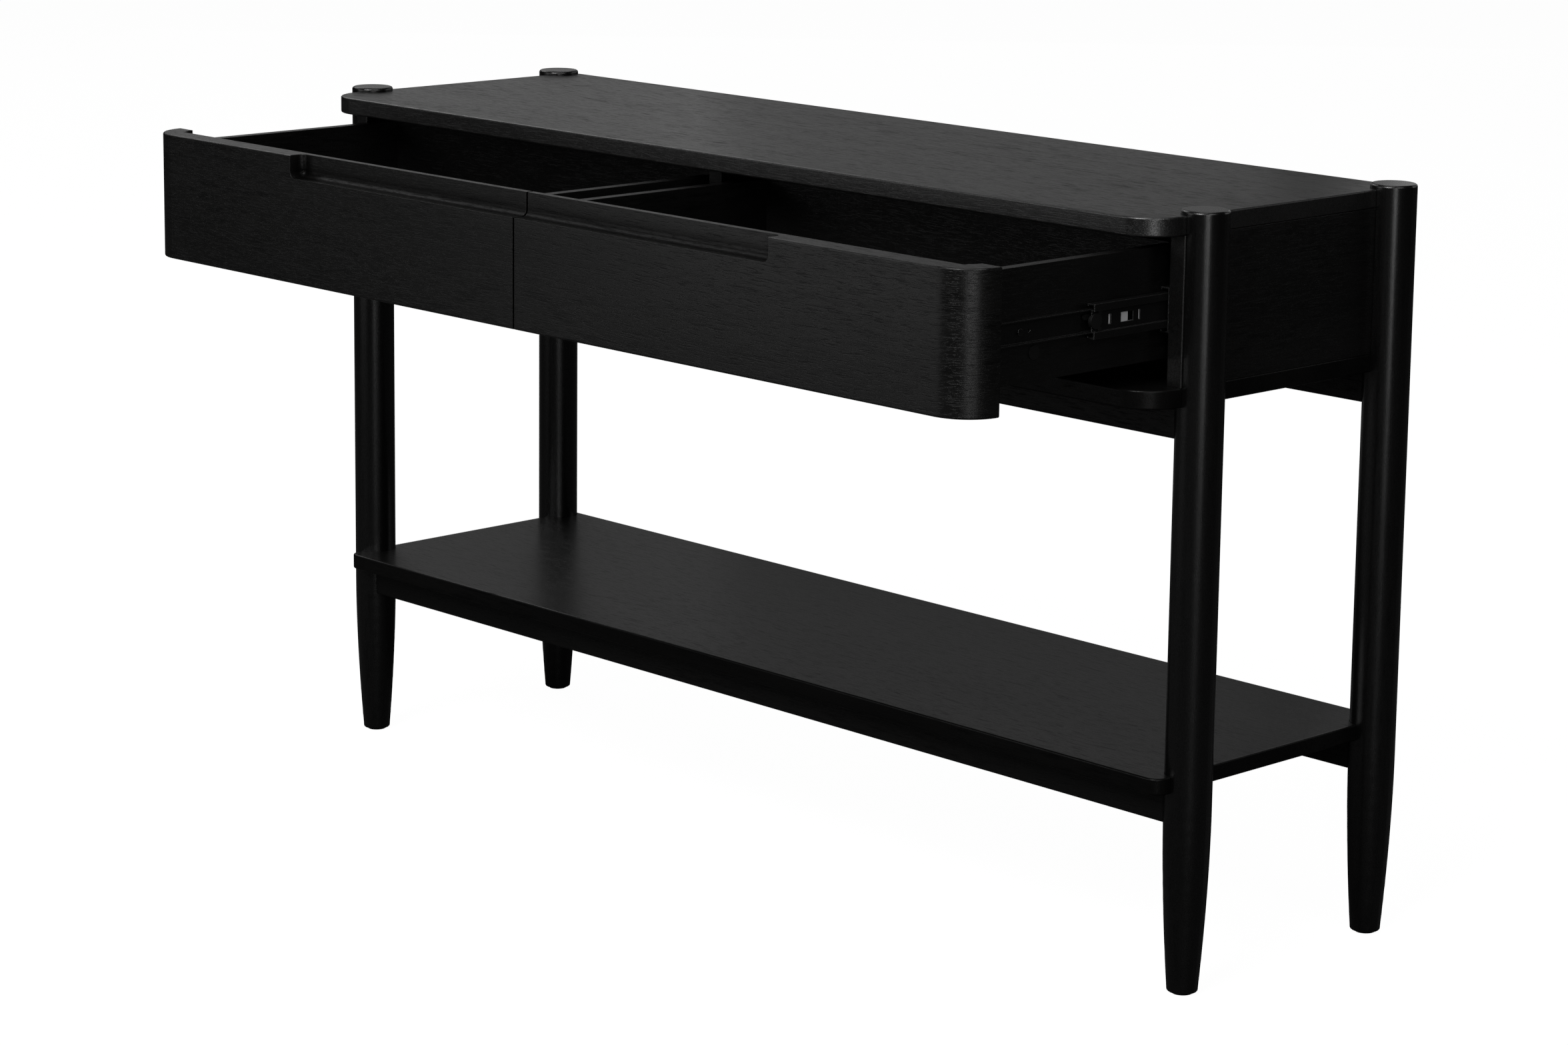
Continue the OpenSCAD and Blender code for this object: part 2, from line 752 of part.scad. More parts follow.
// Levers that free a drawer from its slides: strips with round ends, which cross the windows
// and are held on the webs behind them
module release_levers(end) {
    color(nylon) drawn_out(1) at_end(end) for (face = [-1, 1]) on_side(face)
        translate([sheet_t, slide_front_y, slide_z + lever_z]) rotate([90, 0, 90])
            linear_extrude(lever_t) {
                start = window_at + 2 + lever_w / 2;
                stop = lever_end - lever_w / 2;
                translate([start, -lever_w / 2]) square([stop - start, lever_w]);
                for (y = [start, stop]) translate([y, 0]) circle(d = lever_w);
            }
}

module release_levers_left() { release_levers(-1); }
module release_levers_right() { release_levers(1); }

module member_screws_left() { member_screws(-1); }
module member_screws_right() { member_screws(1); }

// One pair of cage strips with their balls, above and below the slide's middle line
module cages(y, len, x0, x1, ball_x, ball_z) {
    count = floor((len - 12) / ball_pitch) + 1;
    first = y + (len - (count - 1) * ball_pitch) / 2;
    for (half = [-1, 1]) translate([0, 0, slide_z + half * ball_z]) {
        translate([x0, y, -cage_t / 2]) cube([x1 - x0, len, cage_t]);
        for (i = [0:count - 1]) translate([ball_x, first + i * ball_pitch, 0]) sphere(d = ball_d);
    }
}

module outer_cages(end) {
    color(zinc) drawn_out(0.25) at_end(end) for (face = [-1, 1]) on_side(face)
        cages(outer_cage_y, outer_cage_len, 4.4, 10.4, outer_ball_x, outer_ball_z);
}

module inner_cages(end) {
    color(zinc) drawn_out(0.75) at_end(end) for (face = [-1, 1]) on_side(face)
        cages(inner_cage_y, inner_cage_len, 2.2, 8.6, inner_ball_x, inner_ball_z);
}

module outer_cages_left() { outer_cages(-1); }
module outer_cages_right() { outer_cages(1); }
module inner_cages_left() { inner_cages(-1); }
module inner_cages_right() { inner_cages(1); }

// Drawers

// Plan of a front: a straight board that bends round the outer corner, cut back by inset outside
module front_plan(inset) {
    bend_x = side_plane - corner_r;
    difference() {
        union() {
            translate([seam_gap / 2, front_y + inset])
                square([bend_x - seam_gap / 2, front_t - inset]);
            translate([bend_x, front_y + corner_r]) difference() {
                intersection() {
                    circle(corner_r - inset);
                    translate([-e, -corner_r]) square([corner_r + e, corner_r]);
                }
                circle(corner_r - front_t);
            }
        }
        // a flat seat for the end of the box's outer side
        translate([bend_x - 1, box_front_y]) square([box_out_x + seat_gap - bend_x + 1, corner_r]);
    }
}

// A front with softened upper and lower edges
module front_blank() {
    s = edge_round;
    bend_x = side_plane - corner_r;
    translate([0, 0, front_z]) linear_extrude(front_h) front_plan(s);
    translate([0, 0, front_z + s]) linear_extrude(front_h - 2 * s) front_plan(0);
    for (h = [front_z + s, front_z + front_h - s]) {
        bar_x([seam_gap / 2, front_y + s, h], 2 * s, bend_x - seam_gap / 2);
        translate([bend_x, front_y + corner_r, h]) corner_edge(corner_r);
    }
}

// The finger recess: a flat ledge with a rounded corner, then a cove along its foot and end
module pull_cut() {
    z0 = front_z + front_h - pull_h;
    corner_x = pull_len - pull_cove;
    corner_z = z0 + pull_cove;
    cove_y = front_y + pull_ledge;
    top = front_z + front_h + 1;
    translate([-1, front_y - 1, corner_z]) cube([pull_len + 1, pull_ledge + 1, top - corner_z]);
    translate([-1, front_y - 1, z0]) cube([corner_x + 1, pull_ledge + 1, pull_cove + 1]);
    bar_y([corner_x, front_y - 1, corner_z], 2 * pull_cove, pull_ledge + 1);
    translate([-1, cove_y - e, corner_z]) cube([corner_x + 1, pull_cove + e, top - corner_z]);
    bar_x([-1, cove_y, corner_z], 2 * pull_cove, corner_x + 1);
    bar_z([corner_x, cove_y, corner_z], 2 * pull_cove, top - corner_z);
    translate([corner_x, cove_y, corner_z]) sphere(pull_cove);
}

module drawer_front(end) {
    color(wood) drawn_out(1) at_end(end) difference() {
        front_blank();
        pull_cut();
        base_slot();
        for (x = box_dowel_x(), up = box_dowel_up) {
            bar_y([x, box_front_y - box_dowel_len / 2 - 0.5, box_z + up],
                box_dowel_d + 2 * hole_gap, box_dowel_len / 2 + 0.5 + e);
        }
    }
}

// Where the dowels between the front and the sides stand
function box_dowel_x() = [box_in_x + box_t / 2, box_out_x - box_t / 2];

// The groove that runs round the inside of the box for the base
module base_slot() {
    translate([box_in_x + box_t - base_groove, box_front_y - base_groove, base_z - hole_gap])
        cube([box_out_x - box_in_x - 2 * (box_t - base_groove),
            box_len - box_t + 2 * base_groove, base_t + 2 * hole_gap]);
}

// Dowel holes that the front and the back share with a box side
module box_dowel_holes(x) {
    for (up = box_dowel_up) {
        bar_y([x + box_t / 2, box_front_y - e, box_z + up], box_dowel_d + 2 * hole_gap,
            box_dowel_len / 2 + 0.5);
    }
}

module outer_side(end) {
    color(wood) drawn_out(1) at_end(end) difference() {
        x = box_out_x - box_t;
        translate([x, box_front_y, box_z]) cube([box_t, box_len, box_h]);
        base_slot();
        box_dowel_holes(x);
        for (up = box_dowel_up) {
            bar_x([x - 1, box_back_y - box_t / 2, box_z + up], box_dowel_d + 2 * hole_gap,
                1 + box_t * 0.6 + 0.5);
        }
        slide_screw_holes(box_out_x - slide_screw_grip - 0.5, slide_screw_grip + 1, member_screw_at);
        bar_x([box_out_x - plug_len - 0.5, plug_y, box_z + plug_up], plug_d - 1, plug_len + 1);
    }
}

module inner_side(end) {
    color(wood) drawn_out(1) at_end(end) difference() {
        translate([box_in_x, box_front_y, box_z]) cube([box_t, box_len, box_h]);
        base_slot();
        box_dowel_holes(box_in_x);
        for (up = box_dowel_up) {
            bar_x([box_in_x + box_t * 0.4 - 0.5, box_back_y - box_t / 2, box_z + up],
                box_dowel_d + 2 * hole_gap, box_t * 0.6 + 1.5);
        }
        slide_screw_holes(box_in_x - 0.5, slide_screw_grip + 1, member_screw_at);
    }
}

module drawer_back(end) {
    color(wood) drawn_out(1) at_end(end) difference() {
        x0 = box_in_x + box_t;
        x1 = box_out_x - box_t;
        translate([x0, box_back_y - box_t, box_z]) cube([x1 - x0, box_t, box_h]);
        base_slot();
        depth = box_dowel_len - box_t * 0.6 + 0.5;
        for (up = box_dowel_up) {
            bar_x([x0 - e, box_back_y - box_t / 2, box_z + up], box_dowel_d + 2 * hole_gap, depth);
            bar_x([x1 - depth + e, box_back_y - box_t / 2, box_z + up],
                box_dowel_d + 2 * hole_gap, depth);
        }
    }
}

module drawer_base(end) {
    inset = box_t - base_groove + seat_gap;
    color(wood) drawn_out(1) at_end(end)
        translate([box_in_x + inset, box_front_y - base_groove + seat_gap, base_z])
            cube([box_out_x - box_in_x - 2 * inset,
                box_len - box_t + 2 * (base_groove - seat_gap), base_t]);
}

module box_dowels(end) {
    color(beech) drawn_out(1) at_end(end) {
        for (x = box_dowel_x(), up = box_dowel_up) {
            bar_y([x, box_front_y - box_dowel_len / 2, box_z + up], box_dowel_d, box_dowel_len);
        }
        for (up = box_dowel_up) {
            in_side = box_t * 0.6;
            bar_x([box_in_x + box_t - in_side, box_back_y - box_t / 2, box_z + up],
                box_dowel_d, box_dowel_len);
            bar_x([box_out_x - box_t + in_side - box_dowel_len, box_back_y - box_t / 2, box_z + up],
                box_dowel_d, box_dowel_len);
        }
    }
}

module side_plug(end) {
    color(nylon) drawn_out(1) at_end(end) {
        bar_x([box_out_x - plug_len, plug_y, box_z + plug_up], plug_d - 1 - 2 * hole_gap, plug_len);
        bar_x([box_out_x, plug_y, box_z + plug_up], plug_d, plug_rim_t);
    }
}

module drawer_front_left() { drawer_front(-1); }
module drawer_front_right() { drawer_front(1); }
module outer_side_left() { outer_side(-1); }
module outer_side_right() { outer_side(1); }
module inner_side_left() { inner_side(-1); }
module inner_side_right() { inner_side(1); }
module drawer_back_left() { drawer_back(-1); }
module drawer_back_right() { drawer_back(1); }
module drawer_base_left() { drawer_base(-1); }
module drawer_base_right() { drawer_base(1); }
module box_dowels_left() { box_dowels(-1); }
module box_dowels_right() { box_dowels(1); }
module side_plug_left() { side_plug(-1); }
module side_plug_right() { side_plug(1); }

leg_front_left();
leg_front_right();
leg_back_left();
leg_back_right();
floor_glides();
top_panel();
bottom_panel();
end_panel_left();
end_panel_right();
back_panel();
centre_partition();
front_apron();
rear_apron();
shelf_panel();
front_shelf_rail();
rear_shelf_rail();
leg_bolts();
leg_inserts();
bar_dowels();
bar_screws();
case_dowels();
cabinet_member_left_outer();
cabinet_member_left_inner();
cabinet_member_right_outer();
cabinet_member_right_inner();
cabinet_screws();
drawer_front_left();
outer_side_left();
inner_side_left();
drawer_back_left();
drawer_base_left();
box_dowels_left();
side_plug_left();
member_screws_left();
drawer_member_left_outer();
drawer_member_left_inner();
release_levers_left();
middle_member_left_outer();
middle_member_left_inner();
detent_plates_left();
slide_bumpers_left();
outer_cages_left();
inner_cages_left();
drawer_front_right();
outer_side_right();
inner_side_right();
drawer_back_right();
drawer_base_right();
box_dowels_right();
side_plug_right();
member_screws_right();
drawer_member_right_outer();
drawer_member_right_inner();
release_levers_right();
middle_member_right_outer();
middle_member_right_inner();
detent_plates_right();
slide_bumpers_right();
outer_cages_right();
inner_cages_right();
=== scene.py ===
import math
import bpy
from mathutils import Matrix, Vector

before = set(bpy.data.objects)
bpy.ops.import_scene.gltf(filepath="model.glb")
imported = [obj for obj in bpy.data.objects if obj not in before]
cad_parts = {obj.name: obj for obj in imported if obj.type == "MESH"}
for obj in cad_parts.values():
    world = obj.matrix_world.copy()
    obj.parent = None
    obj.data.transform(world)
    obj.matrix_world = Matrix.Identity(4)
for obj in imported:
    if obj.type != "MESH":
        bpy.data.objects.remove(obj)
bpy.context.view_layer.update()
print("frame loaded")

# Shader helpers

def linked(tree, kind, inputs=None, **settings):
    node = tree.nodes.new(kind)
    for key, value in settings.items():
        setattr(node, key, value)
    for key, value in (inputs or {}).items():
        if isinstance(value, bpy.types.NodeSocket):
            tree.links.new(value, node.inputs[key])
        else:
            node.inputs[key].default_value = value
    return node


def makeGroup(name, inputs, outputs):
    group = bpy.data.node_groups.new(name, "ShaderNodeTree")
    for label, kind in inputs:
        group.interface.new_socket(label, in_out="INPUT", socket_type=kind)
    for label, kind in outputs:
        group.interface.new_socket(label, in_out="OUTPUT", socket_type=kind)
    start = group.nodes.new("NodeGroupInput")
    end = group.nodes.new("NodeGroupOutput")
    return group, start, end


def mathNode(tree, operation, *values):
    return linked(tree, "ShaderNodeMath", dict(enumerate(values)), operation=operation).outputs[0]


def spread(tree, value, low, high, outLow, outHigh):
    node = linked(tree, "ShaderNodeMapRange", {"Value": value, "From Min": low, "From Max": high,
                                               "To Min": outLow, "To Max": outHigh}, clamp=True)
    return node.outputs[0]


# 1 where a face lies level, 0 where it stands upright
def levelness(tree, low, high):
    normal = tree.nodes.new("ShaderNodeNewGeometry").outputs["Normal"]
    slope = linked(tree, "ShaderNodeSeparateXYZ", {0: normal})
    return spread(tree, mathNode(tree, "ABSOLUTE", slope.outputs["Z"]), low, high, 0.0, 1.0)


# one input for the camera's own rays, the other for every other ray
def cameraOnly(tree, seen, elsewhere):
    path = tree.nodes.new("ShaderNodeLightPath")
    return linked(tree, "ShaderNodeMixShader", {0: path.outputs["Is Camera Ray"], 1: elsewhere.outputs[0],
                                                2: seen.outputs[0]}).outputs[0]


# Oak grain, shared by every veneered and solid piece. A scale is in noise cells per metre: along, across
# and through the grain, or one number for all three. A cut is the low and high level of the noise and what
# they become. The width is the most that the grain drifts, in metres.

grainLook = {
    "wander": {"scale": 1.6, "detail": 0.5, "rough": 0.5, "width": (0.0, 0.03, 0.03)},
    "region": {"scale": (3.0, 26.0, 26.0), "detail": 2.0, "rough": 0.5, "cut": (0.40, 0.60, 0.12, 1.0)},
    "longPore": {"scale": (40.0, 700.0, 700.0), "detail": 2.0, "rough": 0.55, "cut": (0.56, 0.66, 0.0, 1.0)},
    "finePore": {"scale": (110.0, 1500.0, 1500.0), "detail": 2.0, "rough": 0.6,
                 "cut": (0.58, 0.68, 0.0, 0.8)},
    "fleck": {"scale": (26.0, 230.0, 230.0), "detail": 3.0, "rough": 0.6, "cut": (0.47, 0.65, 0.0, 1.0)},
    "cloud": {"scale": (2.2, 12.0, 12.0), "detail": 3.0, "rough": 0.5},
    "fibre": {"scale": (160.0, 2200.0, 2200.0), "detail": 2.0, "rough": 0.6},
    "grit": {"scale": 1300.0, "detail": 1.0},
}


def buildGrain():
    group, start, end = makeGroup(
        "oakGrain",
        [("Vector", "NodeSocketVector"), ("Turn", "NodeSocketVector"), ("Offset", "NodeSocketVector")],
        [("Pores", "NodeSocketFloat"), ("Flecks", "NodeSocketFloat"), ("Clouds", "NodeSocketFloat"),
         ("Fibres", "NodeSocketFloat"), ("Grit", "NodeSocketFloat")])
    turned = linked(group, "ShaderNodeMapping",
                    {"Vector": start.outputs["Vector"], "Rotation": start.outputs["Turn"],
                     "Location": start.outputs["Offset"]}, vector_type="POINT")
    bend = grainLook["wander"]
    wander = linked(group, "ShaderNodeTexNoise",
                    {"Vector": turned.outputs[0], "Scale": bend["scale"], "Detail": bend["detail"],
                     "Roughness": bend["rough"]})
    centred = linked(group, "ShaderNodeVectorMath", {0: wander.outputs["Color"], 1: (0.5, 0.5, 0.5)},
                     operation="SUBTRACT")
    drift = linked(group, "ShaderNodeVectorMath", {0: centred.outputs[0], 1: bend["width"]},
                   operation="MULTIPLY")
    bent = linked(group, "ShaderNodeVectorMath", {0: turned.outputs[0], 1: drift.outputs[0]},
                  operation="ADD")

    def streaks(name):
        mark = grainLook[name]
        stretched = linked(group, "ShaderNodeVectorMath", {0: bent.outputs[0], 1: mark["scale"]},
                           operation="MULTIPLY")
        noise = linked(group, "ShaderNodeTexNoise",
                       {"Vector": stretched.outputs[0], "Scale": 1.0, "Detail": mark["detail"],
                        "Roughness": mark["rough"]}).outputs["Fac"]
        return spread(group, noise, *mark["cut"]) if "cut" in mark else noise

    region = streaks("region")
    pores = mathNode(group, "MAXIMUM", streaks("longPore"), streaks("finePore"))
    flecks = mathNode(group, "MULTIPLY", region, streaks("fleck"))
    clouds = streaks("cloud")
    fibres = streaks("fibre")
    grit = linked(group, "ShaderNodeTexNoise",
                  {"Vector": turned.outputs[0], "Scale": grainLook["grit"]["scale"],
                   "Detail": grainLook["grit"]["detail"]})
    for label, value in (("Pores", pores), ("Flecks", flecks), ("Clouds", clouds), ("Fibres", fibres),
                         ("Grit", grit.outputs["Fac"])):
        group.links.new(value, end.inputs[label])
    return group


grain = buildGrain()


def emptyMaterial(name):
    material = bpy.data.materials.new(name)
    material.use_nodes = True
    tree = material.node_tree
    tree.nodes.clear()
    return material, tree, tree.nodes.new("ShaderNodeOutputMaterial")


def newMaterial(name):
    material, tree, out = emptyMaterial(name)
    shader = tree.nodes.new("ShaderNodeBsdfPrincipled")
    tree.links.new(shader.outputs[0], out.inputs["Surface"])
    return material, tree, shader


def edgeNormal(tree, radius):
    return linked(tree, "ShaderNodeBevel", {"Radius": radius}, samples=6).outputs[0]


oakLook = {
    "dark": (0.0014, 0.00137, 0.00134, 1.0),
    "light": (0.0032, 0.0031, 0.0030, 1.0),
    "pore": (0.0006, 0.0006, 0.0006, 1.0),
    "rough": 0.29,
    "poreRough": 0.20,
    "specular": 0.42,
    "edgeSpecular": None,
    "poreShade": 0.25,
    "fleckShade": 0.10,
    "gritShade": 0.50,
    "poreDepth": 0.00012,
    "bump": 0.35,
    "edge": 0.0007,
    "wrapped": False,
    "hollow": 0.0,
}


def oakMaterial(name, turn=(0, 0, 0), offset=(0, 0, 0), **changes):
    look = dict(oakLook, **changes)
    material, tree, shader = newMaterial(name)
    place = tree.nodes.new("ShaderNodeTexCoord").outputs["Object"]
    if look["wrapped"]:
        axes = linked(tree, "ShaderNodeSeparateXYZ", {0: place})
        along = mathNode(tree, "ADD", mathNode(tree, "ABSOLUTE", axes.outputs["X"]), axes.outputs["Y"])
        around = linked(tree, "ShaderNodeCombineXYZ", {"X": along, "Z": axes.outputs["Z"]})
        place = linked(tree, "ShaderNodeMix",
                       {"Factor": levelness(tree, 0.70, 0.72), "A": around.outputs[0], "B": place},
                       data_type="VECTOR").outputs[1]
    veins = linked(tree, "ShaderNodeGroup",
                   {"Vector": place, "Turn": tuple(math.radians(a) for a in turn), "Offset": offset},
                   node_tree=grain)
    tone = spread(tree, veins.outputs["Clouds"], 0.35, 0.65, 0.0, 1.0)
    mix = linked(tree, "ShaderNodeMix", {"Factor": tone, "A": look["dark"], "B": look["light"]},
                 data_type="RGBA")
    marks = mathNode(tree, "MAXIMUM", veins.outputs["Pores"], veins.outputs["Flecks"])
    porous = linked(tree, "ShaderNodeMix", {"Factor": marks, "A": mix.outputs["Result"], "B": look["pore"]},
                    data_type="RGBA")
    tree.links.new(porous.outputs["Result"], shader.inputs["Base Color"])
    rough = mathNode(tree, "MULTIPLY_ADD", veins.outputs["Pores"], look["poreRough"], look["rough"])
    tree.links.new(rough, shader.inputs["Roughness"])

    # the gloss drops in the open pores and the flecks and varies with the sanding grit; in sheltered recesses
    # ambient occlusion dims it, as painted shade
    gloss = mathNode(tree, "MULTIPLY",
                     spread(tree, veins.outputs["Pores"], 0.0, 1.0, 1.0, 1.0 - look["poreShade"]),
                     spread(tree, veins.outputs["Grit"], 0.25, 0.75, 1.0 - look["gritShade"],
                            1.0 + look["gritShade"]))
    level = spread(tree, veins.outputs["Flecks"], 0.0, 1.0, look["specular"],
                   look["specular"] * (1.0 - look["fleckShade"]))
    # painted highlight and shade: upright faces and roundings get a gloss apart from the level faces
    if look["edgeSpecular"] is not None:
        level = linked(tree, "ShaderNodeMix",
                       {"Factor": levelness(tree, 0.90, 0.995), "A": look["edgeSpecular"], "B": level},
                       data_type="FLOAT").outputs[0]
    gloss = mathNode(tree, "MULTIPLY", gloss, level)
    # painted shade: ambient occlusion darkens the gloss in recesses such as the finger notch
    if look["hollow"]:
        paintedShadeNode = linked(tree, "ShaderNodeAmbientOcclusion", {"Distance": look["hollow"]}, samples=8)
        gloss = mathNode(tree, "MULTIPLY", gloss, spread(tree, paintedShadeNode.outputs["AO"], 0.60, 1.0, 0.0, 1.0))
    tree.links.new(gloss, shader.inputs["Specular IOR Level"])
    height = mathNode(tree, "ADD", mathNode(tree, "MULTIPLY", veins.outputs["Pores"], -1.0),
                      mathNode(tree, "MULTIPLY", veins.outputs["Fibres"], 0.5))
    bump = linked(tree, "ShaderNodeBump", {"Height": height, "Strength": look["bump"],
                                           "Distance": look["poreDepth"],
                                           "Normal": edgeNormal(tree, look["edge"])})
    tree.links.new(bump.outputs[0], shader.inputs["Normal"])
    return material


def plainMaterial(name, color, rough, metallic=0.0, specular=0.5, edge=0.0003, mottle=0.0, paintedEdgeHighlight=None):
    material, tree, shader = newMaterial(name)
    shader.inputs["Base Color"].default_value = (*color, 1.0)
    shader.inputs["Metallic"].default_value = metallic
    shader.inputs["Specular IOR Level"].default_value = specular
    shader.inputs["Roughness"].default_value = rough
    if mottle:
        place = tree.nodes.new("ShaderNodeTexCoord")
        noise = linked(tree, "ShaderNodeTexNoise", {"Vector": place.outputs["Object"], "Scale": 420.0,
                                                    "Detail": 2.0})
        tree.links.new(spread(tree, noise.outputs["Fac"], 0.3, 0.7, rough - mottle, rough + mottle),
                       shader.inputs["Roughness"])
    softened = edgeNormal(tree, edge)
    tree.links.new(softened, shader.inputs["Normal"])
    # painted highlight: the base colour lightens along the edges, making thin bright edge lines
    if paintedEdgeHighlight:
        straight = tree.nodes.new("ShaderNodeNewGeometry").outputs["Normal"]
        agree = linked(tree, "ShaderNodeVectorMath", {0: softened, 1: straight}, operation="DOT_PRODUCT")
        highlightedColor = linked(tree, "ShaderNodeMix",
                        {"Factor": spread(tree, agree.outputs["Value"], 0.80, 0.99, 1.0, 0.0),
                         "A": (*color, 1.0), "B": (*paintedEdgeHighlight, 1.0)}, data_type="RGBA")
        tree.links.new(highlightedColor.outputs["Result"], shader.inputs["Base Color"])
    return material


# Materials

alongX = oakMaterial("oakAlongX")
# the top's upright edges carry a painted highlight, the shelf's edges and roundings painted shade
topOak = oakMaterial("oakTop", offset=(0.3, 0.1, 0.0), poreShade=0.3, fleckShade=0.85, specular=0.48,
                     edgeSpecular=0.85)
shelfOak = oakMaterial("oakShelf", offset=(2.1, 0.8, 0.0), poreShade=0.1, fleckShade=0.05, bump=0.15,
                       edgeSpecular=0.12)
railOak = oakMaterial("oakRail", offset=(4.0, 0.2, 0.6), specular=0.18, rough=0.4)
# the front's gloss carries painted shade in its finger notch
frontOak = oakMaterial("oakFront", offset=(1.7, 0.4, 0.2), specular=0.39, bump=0.6, wrapped=True, hollow=0.02)
alongY = oakMaterial("oakAlongY", turn=(0, 0, 90), offset=(0.6, 0.0, 0.9))
alongZ = oakMaterial("oakAlongZ", turn=(0, 90, 0), offset=(0.2, 0.5, 0.0), bump=0.05, rough=0.25,
                     specular=0.50, poreShade=0.05, poreRough=0.03, light=(0.0018, 0.00175, 0.0017, 1.0),
                     dark=(0.0009, 0.0009, 0.0009, 1.0))
baseBoard = oakMaterial("baseBoard", offset=(3.0, 1.0, 0.0), bump=0.1, rough=0.4)
# the slide steel gets painted highlights along its edges
slideSteel = plainMaterial("slideSteel", (0.022, 0.022, 0.022), 0.32, metallic=0.85, mottle=0.05,
                           edge=0.0005, paintedEdgeHighlight=(0.22, 0.22, 0.22))
zincSteel = plainMaterial("zincSteel", (0.60, 0.60, 0.61), 0.34, metallic=0.35, mottle=0.05)
cageSteel = plainMaterial("cageSteel", (0.42, 0.42, 0.44), 0.25, metallic=1.0, mottle=0.04)
insertBrass = plainMaterial("insertBrass", (0.62, 0.45, 0.17), 0.3, metallic=1.0)
beech = plainMaterial("beech", (0.5, 0.34, 0.19), 0.6)
blackNylon = plainMaterial("blackNylon", (0.004, 0.004, 0.004), 0.45, specular=0.25)
print("materials built")

# Finish of every CAD piece

looks = {}
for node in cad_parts:
    if node.startswith(("cabinet_member", "middle_member", "drawer_member", "member_screws",
                        "cabinet_screws")):
        looks[node] = slideSteel
    elif node in ("bar_screws", "leg_bolts") or node.startswith("detent"):
        looks[node] = zincSteel
    elif "cages" in node:
        looks[node] = cageSteel
    elif "dowels" in node:
        looks[node] = beech
    elif node == "leg_inserts":
        looks[node] = insertBrass
    elif node == "floor_glides" or node.startswith(("side_plug", "release_levers", "slide_bumpers")):
        looks[node] = blackNylon
    elif node.startswith("leg_"):
        looks[node] = alongZ
    elif node.startswith("drawer_base"):
        looks[node] = baseBoard
    elif node.startswith("drawer_front"):
        looks[node] = frontOak
    elif node == "top_panel":
        looks[node] = topOak
    elif node in ("shelf_panel", "bottom_panel"):
        looks[node] = shelfOak
    elif node.endswith(("apron", "rail")):
        looks[node] = railOak
    elif node.startswith(("outer_side", "inner_side", "end_panel", "centre_partition")):
        looks[node] = alongY
    else:
        looks[node] = alongX

for node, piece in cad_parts.items():
    piece.data.materials.clear()
    piece.data.materials.append(looks[node])
print("pieces finished")

# Stage, light and camera

# the glow and the backdrop are for the camera's own rays alone, so they put no light on the object
stageLook = {
    "floorSize": 30,
    "floorDrop": 0.0005,
    "floorShade": 0.06,
    "floorGlow": 0.975,
    "surround": 0.01,
    "backdrop": 1.0,
}


def floorMaterial(name):
    material, tree, out = emptyMaterial(name)
    glow = linked(tree, "ShaderNodeEmission", {"Color": (1, 1, 1, 1), "Strength": stageLook["floorGlow"]})
    soft = linked(tree, "ShaderNodeBsdfDiffuse", {"Color": (*(stageLook["floorShade"],) * 3, 1)})
    lifted = linked(tree, "ShaderNodeAddShader", {0: soft.outputs[0], 1: glow.outputs[0]})
    tree.links.new(cameraOnly(tree, lifted, soft), out.inputs["Surface"])
    return material


bpy.ops.mesh.primitive_plane_add(size=stageLook["floorSize"], location=(0, 0, -stageLook["floorDrop"]))
floor = bpy.context.object
floor.name = "floor"
floor.data.materials.append(floorMaterial("floorWhite"))

world = bpy.data.worlds.new("studio")
bpy.context.scene.world = world
world.use_nodes = True
tree = world.node_tree
tree.nodes.clear()
out = tree.nodes.new("ShaderNodeOutputWorld")
dim = linked(tree, "ShaderNodeBackground", {"Color": (1, 1, 1, 1), "Strength": stageLook["surround"]})
bright = linked(tree, "ShaderNodeBackground", {"Color": (1, 1, 1, 1), "Strength": stageLook["backdrop"]})
tree.links.new(cameraOnly(tree, bright, dim), out.inputs["Surface"])


# a flat lamp that stands at one place and faces another, with its sides in metres
def softbox(name, place, aim, width, height, radiance):
    data = bpy.data.lights.new(name, "AREA")
    data.shape = "RECTANGLE"
    data.size, data.size_y = width, height
    data.energy = radiance * math.pi * width * height
    lamp = bpy.data.objects.new(name, data)
    bpy.context.scene.collection.objects.link(lamp)
    lamp.location = place
    lamp.rotation_mode = "QUATERNION"
    lamp.rotation_quaternion = (Vector(aim) - Vector(place)).to_track_quat("-Z", "Y")
    lamp.visible_camera = False


# a lamp of the surrounding dome, by angles in degrees: where it stands round the object, how high, how broad
# and how tall, with its distance away in metres
def domeLamp(name, around, above, across, tall, radiance, away=9.0):
    a, e = math.radians(around), math.radians(above)
    place = (away * math.cos(e) * math.sin(a), -away * math.cos(e) * math.cos(a), away * math.sin(e))
    softbox(name, place, (0, 0, 0), away * math.cos(e) * math.radians(across),
            away * math.radians(tall), radiance)


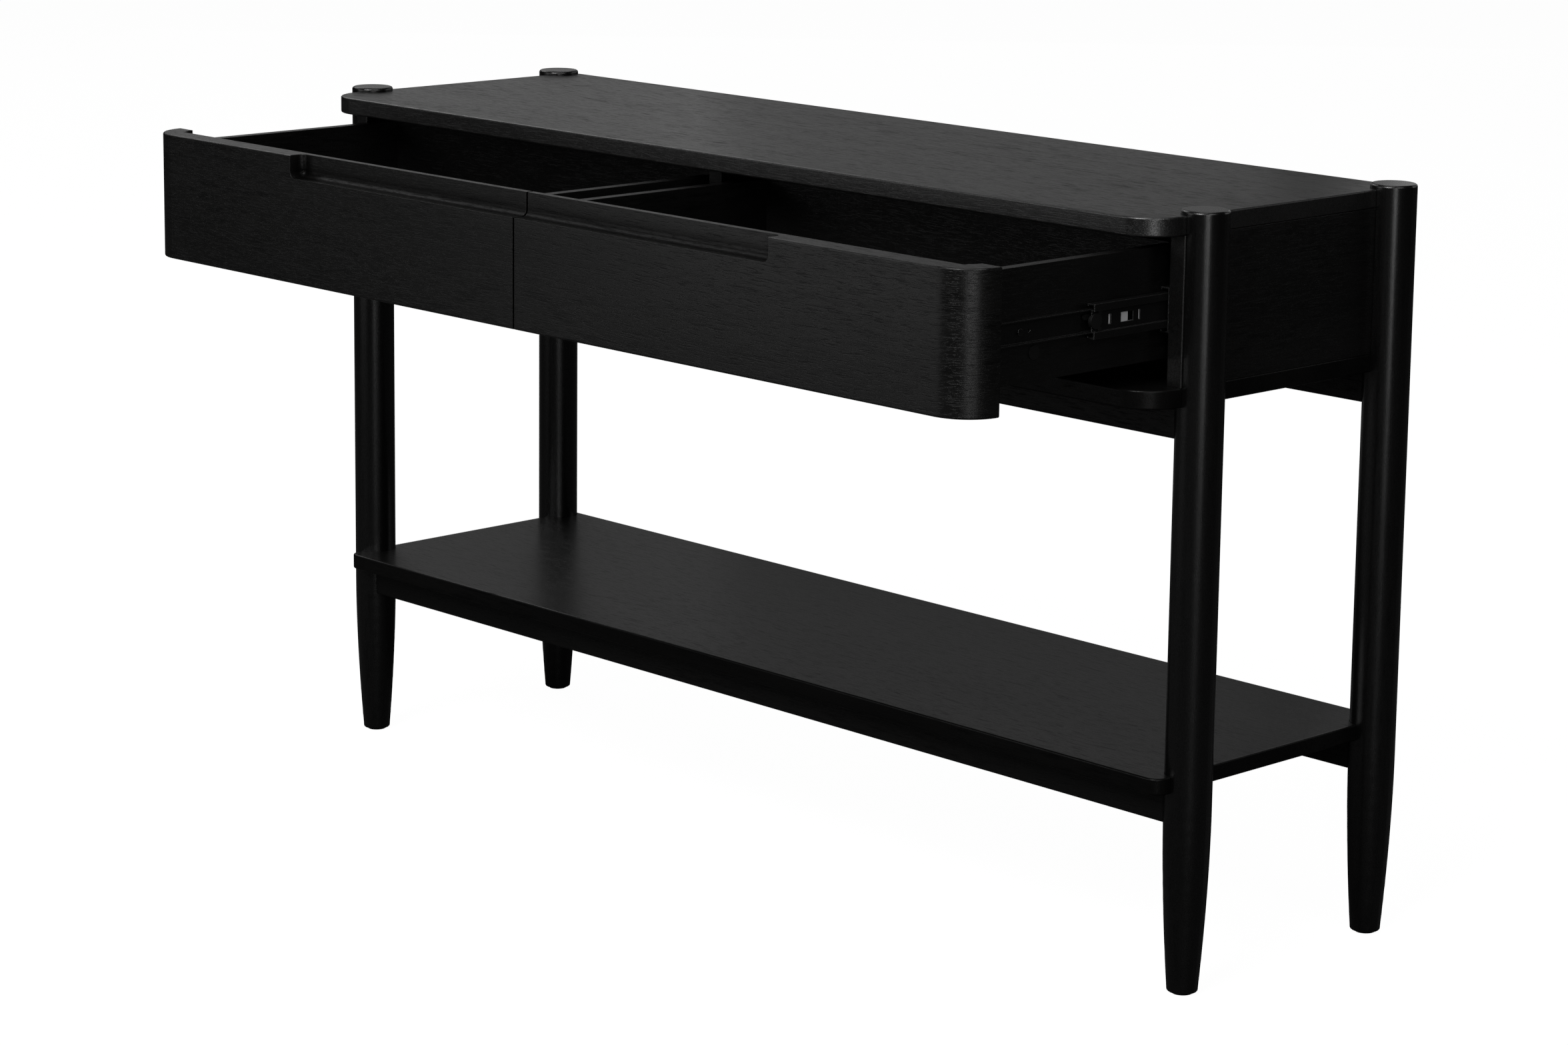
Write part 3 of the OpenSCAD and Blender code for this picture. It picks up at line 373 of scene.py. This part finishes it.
domeLamp("keyRight", 52, 6, 15, 12, 5.4)
domeLamp("frontLeftLow", -37, 6, 15, 12, 0.5)
domeLamp("frontLeft", -30, 20, 20, 16, 1.9)
domeLamp("backRight", 150, 20, 20, 16, 0.7)
domeLamp("backLeftFar", -135, 6, 30, 12, 0.16)
domeLamp("highLeft", -105, 39, 30, 22, 1.6)
domeLamp("highLeftFront", -75, 39, 30, 22, 0.86)
domeLamp("fillFront", 15, 39, 30, 22, 12.2)
domeLamp("fillRight", 75, 39, 30, 22, 3.1)
domeLamp("overhead", -150, 70, 60, 40, 1.2)
softbox("fillTop", (0.6, -1.6, 3.2), (0, 0, 0.6), 2.6, 2.0, 1.55)
softbox("stripNear", (2.4, -1.1, 1.0), (0, 0.1, 0.5), 0.25, 1.6, 1.6)
softbox("boxWide", (-1.0, -2.04, 0.9), (-0.6, 0, 0.6), 1.4, 1.2, 0.73)
softbox("backLeftHigh", (-1.6, 0.8, 1.4), (-0.48, 0.1, 0.6), 1.0, 1.2, 0.25)
softbox("backLeftLow", (-1.6, 0.8, 0.4), (-0.48, 0.1, 0.5), 1.0, 0.8, 0.07)
softbox("backMiddle", (-1.2, 1.6, 1.4), (-0.36, 0.1, 0.6), 1.0, 1.2, 0.17)
softbox("backHigh", (-0.2, 2.0, 1.4), (-0.06, 0.1, 0.6), 1.0, 1.2, 0.46)
softbox("backRightHigh", (1.2, 2.2, 1.4), (0.36, 0.1, 0.6), 1.0, 1.2, 0.4)

# lens in millimetres, shift in frame widths, place in metres and angles in radians
cameraLook = {
    "lens": 93.22,
    "shift": -0.1,
    "place": (3.2914, -3.0775, 1.4019),
    "yaw": 0.8079,
    "pitch": 0.1835,
    "roll": 0.0119,
}

cameraData = bpy.data.cameras.new("camera")
cameraData.sensor_width, cameraData.lens, cameraData.shift_y = 36.0, cameraLook["lens"], cameraLook["shift"]
cameraData.clip_start, cameraData.clip_end = 0.1, 60
camera = bpy.data.objects.new("camera", cameraData)
bpy.context.scene.collection.objects.link(camera)
bpy.context.scene.camera = camera
yaw, pitch, roll = cameraLook["yaw"], cameraLook["pitch"], cameraLook["roll"]
ahead = Vector((-math.sin(yaw) * math.cos(pitch), math.cos(yaw) * math.cos(pitch), -math.sin(pitch)))
right = Vector((math.cos(yaw), math.sin(yaw), 0))
up = right.cross(ahead)
right, up = right * math.cos(roll) + up * math.sin(roll), up * math.cos(roll) - right * math.sin(roll)
turn = Matrix((right, up, -ahead)).transposed().to_4x4()
camera.matrix_world = Matrix.Translation(cameraLook["place"]) @ turn

scene = bpy.context.scene
scene.view_settings.view_transform = "Standard"
scene.view_settings.look = "None"
print("stage set")
